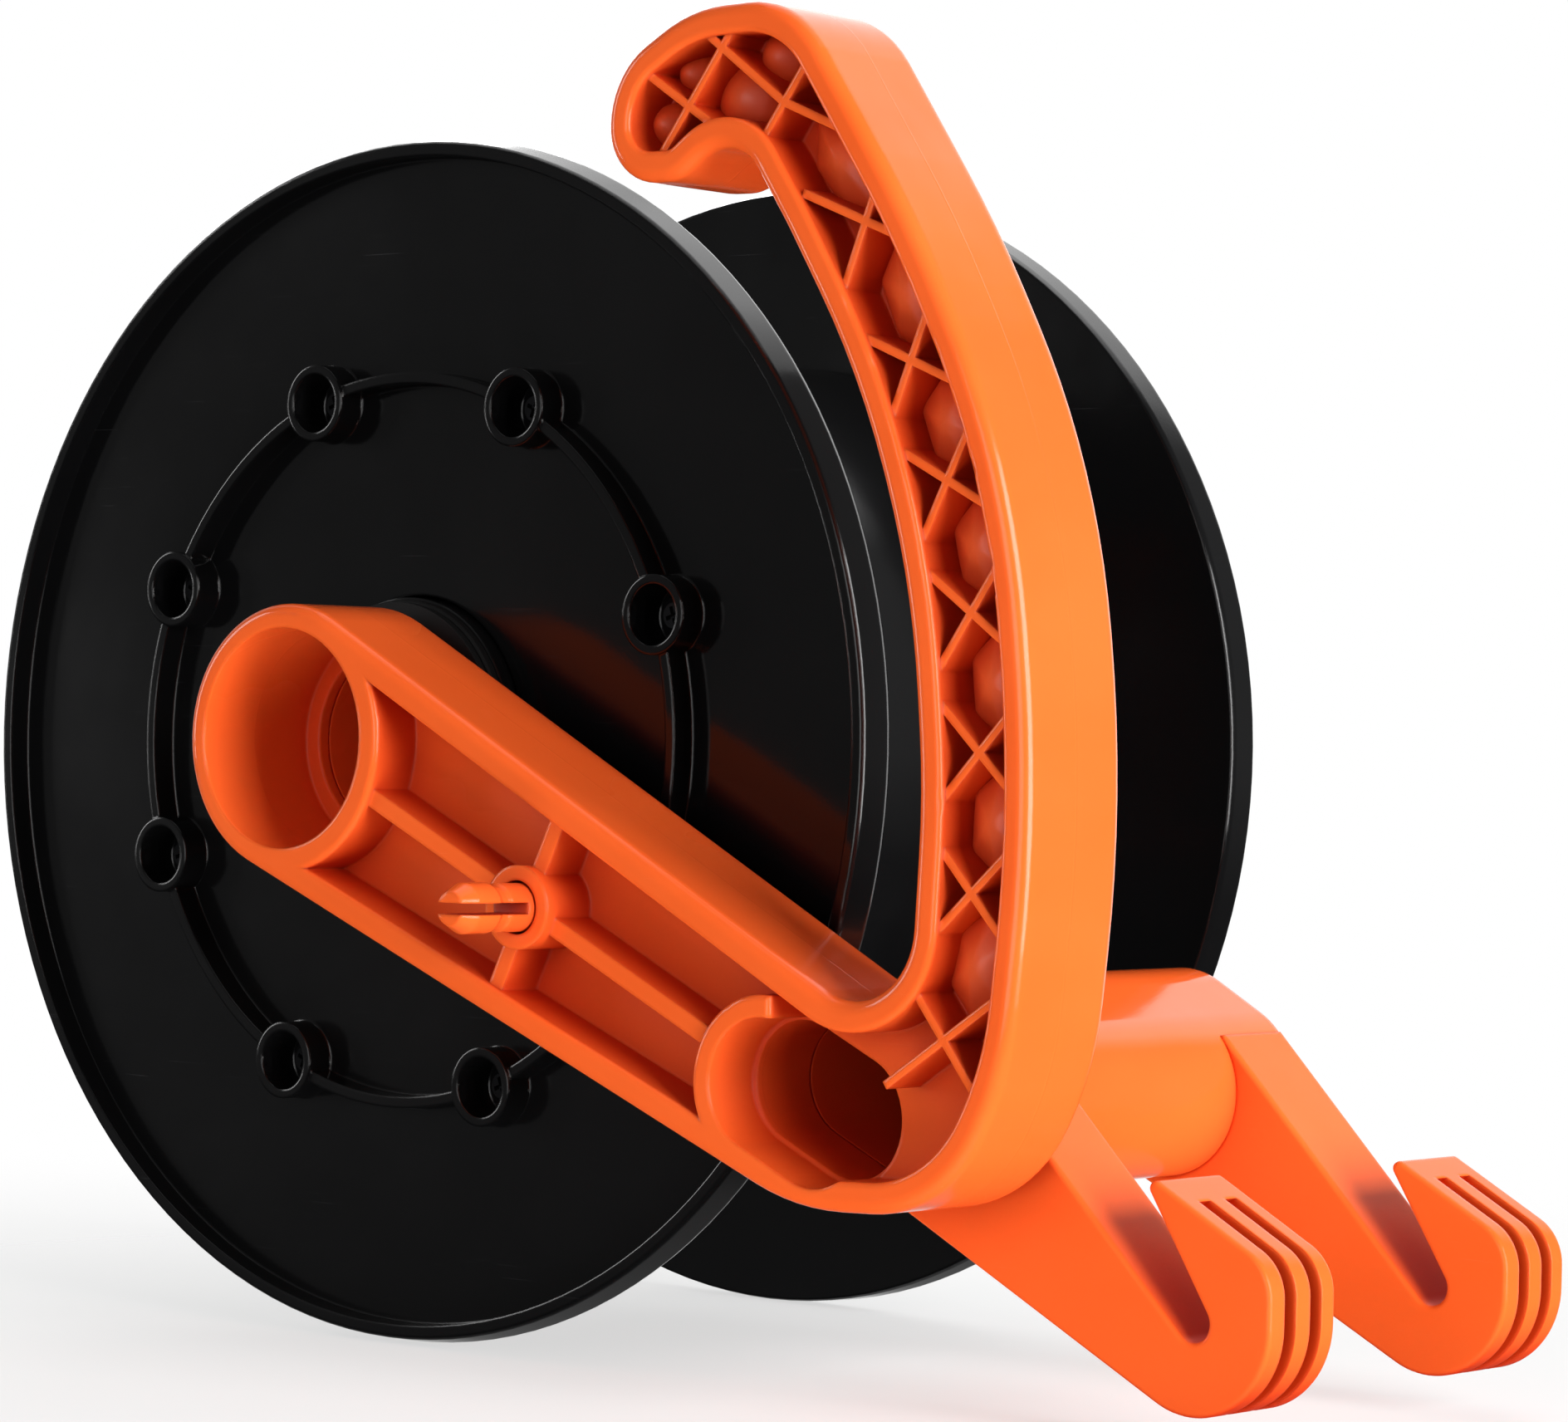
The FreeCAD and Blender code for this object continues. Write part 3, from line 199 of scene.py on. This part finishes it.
def plastic(name, base, deep, worn, roughness, bevel, grain=1.0, subsurface=0.0, parting=None,
            wear=1.0, painted_recess_shade=None, specular=0.5):
    """Moulded plastic: slight flow mottling, fine grain, faint scratches and dust.

    base and deep are the two colours of the mottling, worn is that of scratches and dust, and
    painted_recess_shade is a painted shade colour that darkens recesses to deep red. parting is the
    depth of the mould's parting line.
    """
    material, t, place = new_material(name)
    flow = t.noise(t.stretched(place, FLOW_SCALE), 1.0, 3.0)
    colour = t.mix(t.ramp(flow, *FLOW_RANGE), (*deep, 1.0), (*base, 1.0))
    marks = t.math("MULTIPLY", scratches(t, place), wear)
    dust = t.math("MULTIPLY", specks(t, place), wear)
    worn_share = t.math("MAXIMUM", t.math("MULTIPLY", marks, SCRATCH_PALENESS),
                        t.math("MULTIPLY", dust, DUST_PALENESS))
    colour = t.mix(worn_share, colour, (*worn, 1.0))

    smear = t.ramp(t.noise(place, SMEAR_SCALE, 4.0, 0.6), *SMEAR_RANGE, 0.0, SMEAR_ROUGHNESS)
    rough = t.math("ADD", t.math("ADD", smear, roughness),
                   t.math("MULTIPLY", worn_share, WEAR_ROUGHNESS))
    # Painted shade: the colour darkens towards deep red where nearby geometry encloses the surface;
    # roughness also rises there
    if painted_recess_shade is not None:
        open_share = t.add("ShaderNodeAmbientOcclusion", {"Distance": RECESS_REACH},
                           samples=RECESS_SAMPLES).outputs["AO"]
        colour = t.mix(t.ramp(open_share, *PAINTED_SHADE_RANGE), (*painted_recess_shade, 1.0), colour)
        rough = t.math("ADD", rough, t.ramp(open_share, *RECESS_DULL_RANGE, RECESS_DULLING, 0.0))

    height = t.math("ADD", t.math("MULTIPLY", t.noise(place, GRAIN_SCALE, 3.0), GRAIN_HEIGHT * grain),
                    t.math("MULTIPLY", t.noise(place, SINK_SCALE), SINK_HEIGHT))
    height = t.math("SUBTRACT", height, t.math("MULTIPLY", marks, SCRATCH_DEPTH))
    if parting is not None:
        depth = t.add("ShaderNodeSeparateXYZ", {0: place}).outputs[1]
        away = t.math("ABSOLUTE", t.math("SUBTRACT", depth, parting))
        height = t.math("ADD", height, t.ramp(away, *PARTING_RANGE, 0.0, PARTING_HEIGHT))

    round_edge = t.add("ShaderNodeBevel", {"Radius": bevel}, samples=EDGE_SAMPLES).outputs[0]
    bump = t.add("ShaderNodeBump", {"Strength": BUMP_STRENGTH, "Distance": BUMP_DISTANCE,
                                    "Height": height, "Normal": round_edge}).outputs[0]
    shader = t.add("ShaderNodeBsdfPrincipled", {
        "Base Color": colour, "Roughness": rough, "Normal": bump,
        "IOR": PLASTIC_IOR, "Specular IOR Level": specular,
        "Subsurface Weight": subsurface, "Subsurface Radius": SCATTER_RADIUS,
        "Subsurface Scale": SCATTER_SCALE,
    })
    t.add("ShaderNodeOutputMaterial", {"Surface": shader.outputs[0]})
    return material


def metal(name, base, roughness):
    """Steel with fine marks round the Y axis from turning, and slight tarnish."""
    material, t, place = new_material(name)
    tarnish = t.ramp(t.noise(place, TARNISH_SCALE, 4.0), *TARNISH_RANGE)
    tarnished = (*(TARNISH_SHADE * c for c in base), 1.0)
    colour = t.mix(tarnish, (*base, 1.0), tarnished)
    rings = t.noise(t.stretched(place, TURNING_SCALE), 1.0)
    rough = t.ramp(t.math("ADD", rings, t.math("MULTIPLY", tarnish, TARNISH_ROUGHNESS)),
                   *TURNING_RANGE, roughness - TURNING_SMOOTHER, roughness + TURNING_ROUGHER)
    bump = t.add("ShaderNodeBump", {"Strength": TURNING_STRENGTH, "Distance": TURNING_DISTANCE,
                                    "Height": rings}).outputs[0]
    shader = t.add("ShaderNodeBsdfPrincipled", {
        "Base Color": colour, "Metallic": 1.0, "Roughness": rough, "Normal": bump,
    })
    t.add("ShaderNodeOutputMaterial", {"Surface": shader.outputs[0]})
    return material


# ------------------------------------------------------------------------------------------- stage
# Name, place, target, width and height (metres), watts, and whether reflections show it
LIGHTS = (
    ("key", (1.55, -0.06, 0.26), (0.08, 0.0, 0.0), (0.8, 1.2), 41.0, True),
    ("edge_strip", (1.50, -0.50, 0.30), (0.10, 0.03, 0.05), (0.10, 0.9), 5.0, True),
    ("top", (0.0, 0.35, 1.25), (0.05, 0.05, 0.0), (1.2, 1.2), 4.0, True),
    ("front_fill", (0.45, -1.7, 0.15), (0.05, 0.0, 0.0), (1.0, 1.0), 10.5, True),
    ("left", (-1.4, -0.62, 0.35), (0.1, 0.0, 0.0), (0.30, 0.9), 6.0, True),
    ("under", (0.25, -0.35, -0.90), (0.10, 0.0, -0.05), (0.8, 0.8), 11.0, False),
    ("back_fill", (-0.9, 1.5, 0.8), (0.05, 0.08, 0.0), (1.2, 1.2), 16.0, False),
    ("back_strip", (-1.3, 1.3, 0.35), (0.05, 0.08, 0.0), (0.5, 1.0), 6.0, True),
)

SOFT_COLOUR, SOFT_STRENGTH = (1.0, 0.97, 0.95, 1.0), 0.10
WHITE = (1.0, 1.0, 1.0, 1.0)
# Mirrored surroundings: a direction's part along an axis, from and to, then the strength there
BEHIND = (0.0, 0.6, 0.10, 1.6)
RIGHTWARDS = (0.08, 0.28, 1.0, 0.12)
UPWARDS = (-0.35, -0.02, 0.12, 1.0)

FLOOR_MIDDLE = (0.05, 0.08)
FLOOR_REACH = 2.5
FLOOR_SHADES = ((0.90, 0.90, 0.90, 1.0), (0.94, 0.94, 0.94, 1.0))
FLOOR_MOTTLE_SCALE = 3.0
FLOOR_FADE = (0.10, 0.45, 0.62, 1.0)    # distances from and to, then how clear the floor is there


def make_light(name, place, target, size, power, mirrored):
    """Rectangular lamp at a place, turned to its target."""
    data = bpy.data.lights.new(name, "AREA")
    data.shape = "RECTANGLE"
    data.size, data.size_y = size
    data.energy = power
    lamp = bpy.data.objects.new(name, data)
    bpy.context.scene.collection.objects.link(lamp)
    lamp.location = place
    lamp.rotation_mode = "QUATERNION"
    lamp.rotation_quaternion = (Vector(place) - Vector(target)).to_track_quat("Z", "Y")
    lamp.visible_glossy = mirrored


def make_world():
    """White where the camera looks past the reel, and dim and even as light.

    Glossy faces see it brighter behind the reel, and dark to its right and below it.
    """
    world = bpy.data.worlds.new("studio")
    bpy.context.scene.world = world
    world.use_nodes = True
    t = Tree(world.node_tree)

    def background(colour, strength):
        return t.add("ShaderNodeBackground", {"Color": colour, "Strength": strength}).outputs[0]

    heading = t.add("ShaderNodeTexCoord").outputs["Generated"]
    sideways, backwards, upwards = t.add("ShaderNodeSeparateXYZ", {0: heading}).outputs[:3]
    backdrop = t.ramp(backwards, *BEHIND)
    backdrop = t.math("MULTIPLY", backdrop, t.ramp(sideways, *RIGHTWARDS))
    backdrop = t.math("MULTIPLY", backdrop, t.ramp(upwards, *UPWARDS))
    seen = background(WHITE, 1.0)
    soft = background(SOFT_COLOUR, SOFT_STRENGTH)
    mirrored = background(WHITE, backdrop)
    path = t.add("ShaderNodeLightPath").outputs
    unseen = t.add("ShaderNodeMixShader", {0: path["Is Glossy Ray"], 1: soft, 2: mirrored}).outputs[0]
    both = t.add("ShaderNodeMixShader", {0: path["Is Camera Ray"], 1: unseen, 2: seen}).outputs[0]
    t.add("ShaderNodeOutputWorld", {"Surface": both})


def make_floor():
    """Pale floor that fades out some way from the reel, so that no horizon shows."""
    mesh = bpy.data.meshes.new("floor")
    r = FLOOR_REACH
    mesh.from_pydata([(-r, -r, 0), (r, -r, 0), (r, r, 0), (-r, r, 0)], [], [(0, 1, 2, 3)])
    floor = bpy.data.objects.new("floor", mesh)
    floor.location = (*FLOOR_MIDDLE, CAD_BOX[0].z)
    bpy.context.scene.collection.objects.link(floor)
    material, t, place = new_material("pale_floor")
    shade = t.mix(t.noise(place, FLOOR_MOTTLE_SCALE, 3.0), *FLOOR_SHADES)
    shader = t.add("ShaderNodeBsdfDiffuse", {"Color": shade}).outputs[0]
    clear = t.add("ShaderNodeBsdfTransparent").outputs[0]
    away = t.add("ShaderNodeVectorMath", {0: place}, operation="LENGTH").outputs["Value"]
    fade = t.add("ShaderNodeMapRange", dict(enumerate((away, *FLOOR_FADE))),
                 interpolation_type="SMOOTHSTEP").outputs[0]
    both = t.add("ShaderNodeMixShader", {0: fade, 1: shader, 2: clear}).outputs[0]
    t.add("ShaderNodeOutputMaterial", {"Surface": both})
    mesh.materials.append(material)
    floor.visible_glossy = False


# --------------------------------------------------------------------------------- moulded details
# Millimetres, as (x, z) in the frame's plane
CROSSINGS = [(138.0, 91.0), (148.6, 67.0), (157.0, 46.6), (162.8, 24.4), (165.2, 1.0), (164.2, -22.6)]
GRIP_TOP, GRIP_FOOT = (119.0, 112.5), (158.6, -47.0)
HEAD_PADS = [(104.4, 114.6, 6.6), (92.6, 119.6, 4.0), (112.6, 121.4, 5.0), (86.6, 111.0, 4.0)]
SIDES = (("front", 10.5, -1.0), ("rear", 13.5, 1.0))    # hollow, depth of its floor, way its pads face
PAD_HEIGHT, PAD_SIDE = 5.0, 1.5         # over the floor, at the middle and at the edge
PAD_HALF_WIDTH, PAD_SHOULDER = 6.4, 5.6
PAD_END_GAP = 2.0                       # from a crossing of the ribs to the tip of a pad
SKIRT_SPREAD, SKIRT_LIFT = 1.06, -0.2   # the outermost ring ends under the floor
RINGS, SPOKES = 9, 48
MILLIMETRE = 0.001
TINY = 1e-9


def hexagon(half_length):
    """Outline of a long hexagon: the distance to its edge, at an angle from its long axis."""
    def edge(angle):
        c, s = abs(math.cos(angle)), abs(math.sin(angle))
        slant = (half_length - PAD_SHOULDER) * s + PAD_HALF_WIDTH * c
        pointed = half_length * PAD_HALF_WIDTH / slant if slant > TINY else half_length
        flat = PAD_HALF_WIDTH / s if s > TINY else half_length
        return min(pointed, flat)
    return edge


def circle(radius):
    """Outline of a circle."""
    return lambda angle: radius


def domed_pad(name, centre, along, outline, floor, towards):
    """Raised pad with a soft dome, standing on the floor of a hollow; millimetres."""
    ahead = Vector((along[0], 0.0, along[1])).normalized()
    across = Vector((-ahead.z, 0.0, ahead.x))
    middle = Vector((centre[0], floor, centre[1]))
    outward = Vector((0.0, towards, 0.0))
    points = []
    for ring in range(RINGS + 1):
        share = ring / RINGS
        for spoke in range(SPOKES):
            angle = 2 * math.pi * spoke / SPOKES
            edge = outline(angle)
            oval_edge = 0.5 * (edge + min(outline(0.0), outline(math.pi / 2)))
            reach = (edge * share + oval_edge * (1 - share)) * share
            lift = PAD_SIDE + (PAD_HEIGHT - PAD_SIDE) * math.cos(share * math.pi / 2)
            if ring == RINGS:
                reach, lift = edge * SKIRT_SPREAD, SKIRT_LIFT
            points.append(middle + ahead * reach * math.cos(angle) + across * reach * math.sin(angle)
                          + outward * lift)
    faces = []
    for ring in range(RINGS):
        for spoke in range(SPOKES):
            after = (spoke + 1) % SPOKES
            a, b = ring * SPOKES + spoke, ring * SPOKES + after
            face = (a, b, b + SPOKES, a + SPOKES)
            faces.append(face if towards > 0 else face[::-1])
    mesh = bpy.data.meshes.new(name)
    mesh.from_pydata([p * MILLIMETRE for p in points], [], faces)
    mesh.validate()
    for polygon in mesh.polygons:
        polygon.use_smooth = True
    pad = bpy.data.objects.new(name, mesh)
    bpy.context.scene.collection.objects.link(pad)
    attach(pad, "frame")
    return pad


def make_pads():
    """Domed pads between the grip's ribs and in its head, on both sides."""
    pads = []
    ends = [GRIP_TOP] + CROSSINGS + [GRIP_FOOT]
    for side, floor, towards in SIDES:
        for i, (a, b) in enumerate(zip(ends, ends[1:])):
            along = (b[0] - a[0], b[1] - a[1])
            centre = ((a[0] + b[0]) / 2, (a[1] + b[1]) / 2)
            outline = hexagon(math.hypot(*along) / 2 - PAD_END_GAP)
            pads.append(domed_pad("%s_pad_%d" % (side, i + 1), centre, along, outline, floor, towards))
        for i, (x, z, radius) in enumerate(HEAD_PADS):
            pads.append(domed_pad("%s_head_pad_%d" % (side, i + 1), (x, z), (1.0, 0.0), circle(radius),
                                  floor, towards))
    return pads


# -------------------------------------------------------------------------------------------- look
PARTING_DEPTH = 0.0135      # middle of the frame's thickness, metres
# The deep-red recess colour in each orange look is painted shade for the moulding's hollows
ORANGE = {"base": (0.94, 0.135, 0.024), "deep": (0.89, 0.118, 0.018), "worn": (1.0, 0.50, 0.30),
          "painted_recess_shade": (0.50, 0.022, 0.0006), "bevel": 0.0011, "grain": 0.6, "subsurface": 0.04,
          "wear": 0.35}
PAD_ORANGE = {"base": (0.94, 0.135, 0.03), "deep": (0.89, 0.118, 0.024), "worn": (1.0, 0.50, 0.30),
              "painted_recess_shade": (0.60, 0.040, 0.002), "bevel": 0.0007, "subsurface": 0.04, "wear": 0.2}
BLACK = {"base": (0.0040, 0.0040, 0.0042), "deep": (0.0028, 0.0028, 0.0030),
         "worn": (0.16, 0.16, 0.17), "bevel": 0.0008, "grain": 0.5, "wear": 0.35}
KNOB_BLACK = {"base": (0.02, 0.02, 0.021), "deep": (0.014, 0.014, 0.015), "worn": (0.25, 0.25, 0.25),
              "bevel": 0.0006, "grain": 3.0, "wear": 0.5}
BEARING_BLACK = {"base": (0.004, 0.004, 0.004), "deep": (0.003, 0.003, 0.003),
                 "worn": (0.05, 0.05, 0.05), "bevel": 0.0003, "wear": 0.3}
PLATED = (0.60, 0.60, 0.62)
BLACKENED = (0.045, 0.045, 0.048)


def paint(material, *names):
    """Give CAD nodes one material."""
    for name in names:
        materials = NODES[name].data.materials
        materials.clear()
        materials.append(material)


def make_looks(pads):
    """Make every material and give it to its pieces."""
    orange = plastic("orange_moulding", roughness=0.10, specular=0.28, parting=PARTING_DEPTH, **ORANGE)
    hook_orange = plastic("orange_hook_moulding", roughness=0.16, specular=0.12, **ORANGE)
    pad_orange = plastic("orange_pads", roughness=0.22, **PAD_ORANGE)
    black = plastic("black_moulding", roughness=0.10, **BLACK)
    knob = plastic("knob_moulding", roughness=0.42, **KNOB_BLACK)
    bearing = plastic("bearing_plastic", roughness=0.62, specular=0.2, **BEARING_BLACK)
    steel = metal("plated_steel", PLATED, 0.28)
    dark_steel = metal("blackened_steel", BLACKENED, 0.48)
    paint(orange, "frame", "spindle", "spindle_end", "cross_tube", "lock_pin")
    paint(hook_orange, "front_hook", "rear_hook")
    paint(black, "front_flange", "rear_flange", "drum", "hub_cap")
    paint(knob, "winding_knob", "knob_cap")
    paint(bearing, "front_bush", "rear_bush", "front_thrust_washer", "rear_thrust_washer")
    paint(dark_steel, "front_flange_screws", "rear_flange_screws")
    paint(steel, "retaining_washer", "retaining_screw", "knob_bolt", "knob_washer", "knob_nut")
    for pad in pads:
        pad.data.materials.append(pad_orange)


make_camera()
make_world()
make_floor()
make_looks(make_pads())
for lamp in LIGHTS:
    make_light(*lamp)
bpy.context.scene.view_settings.view_transform = "Standard"
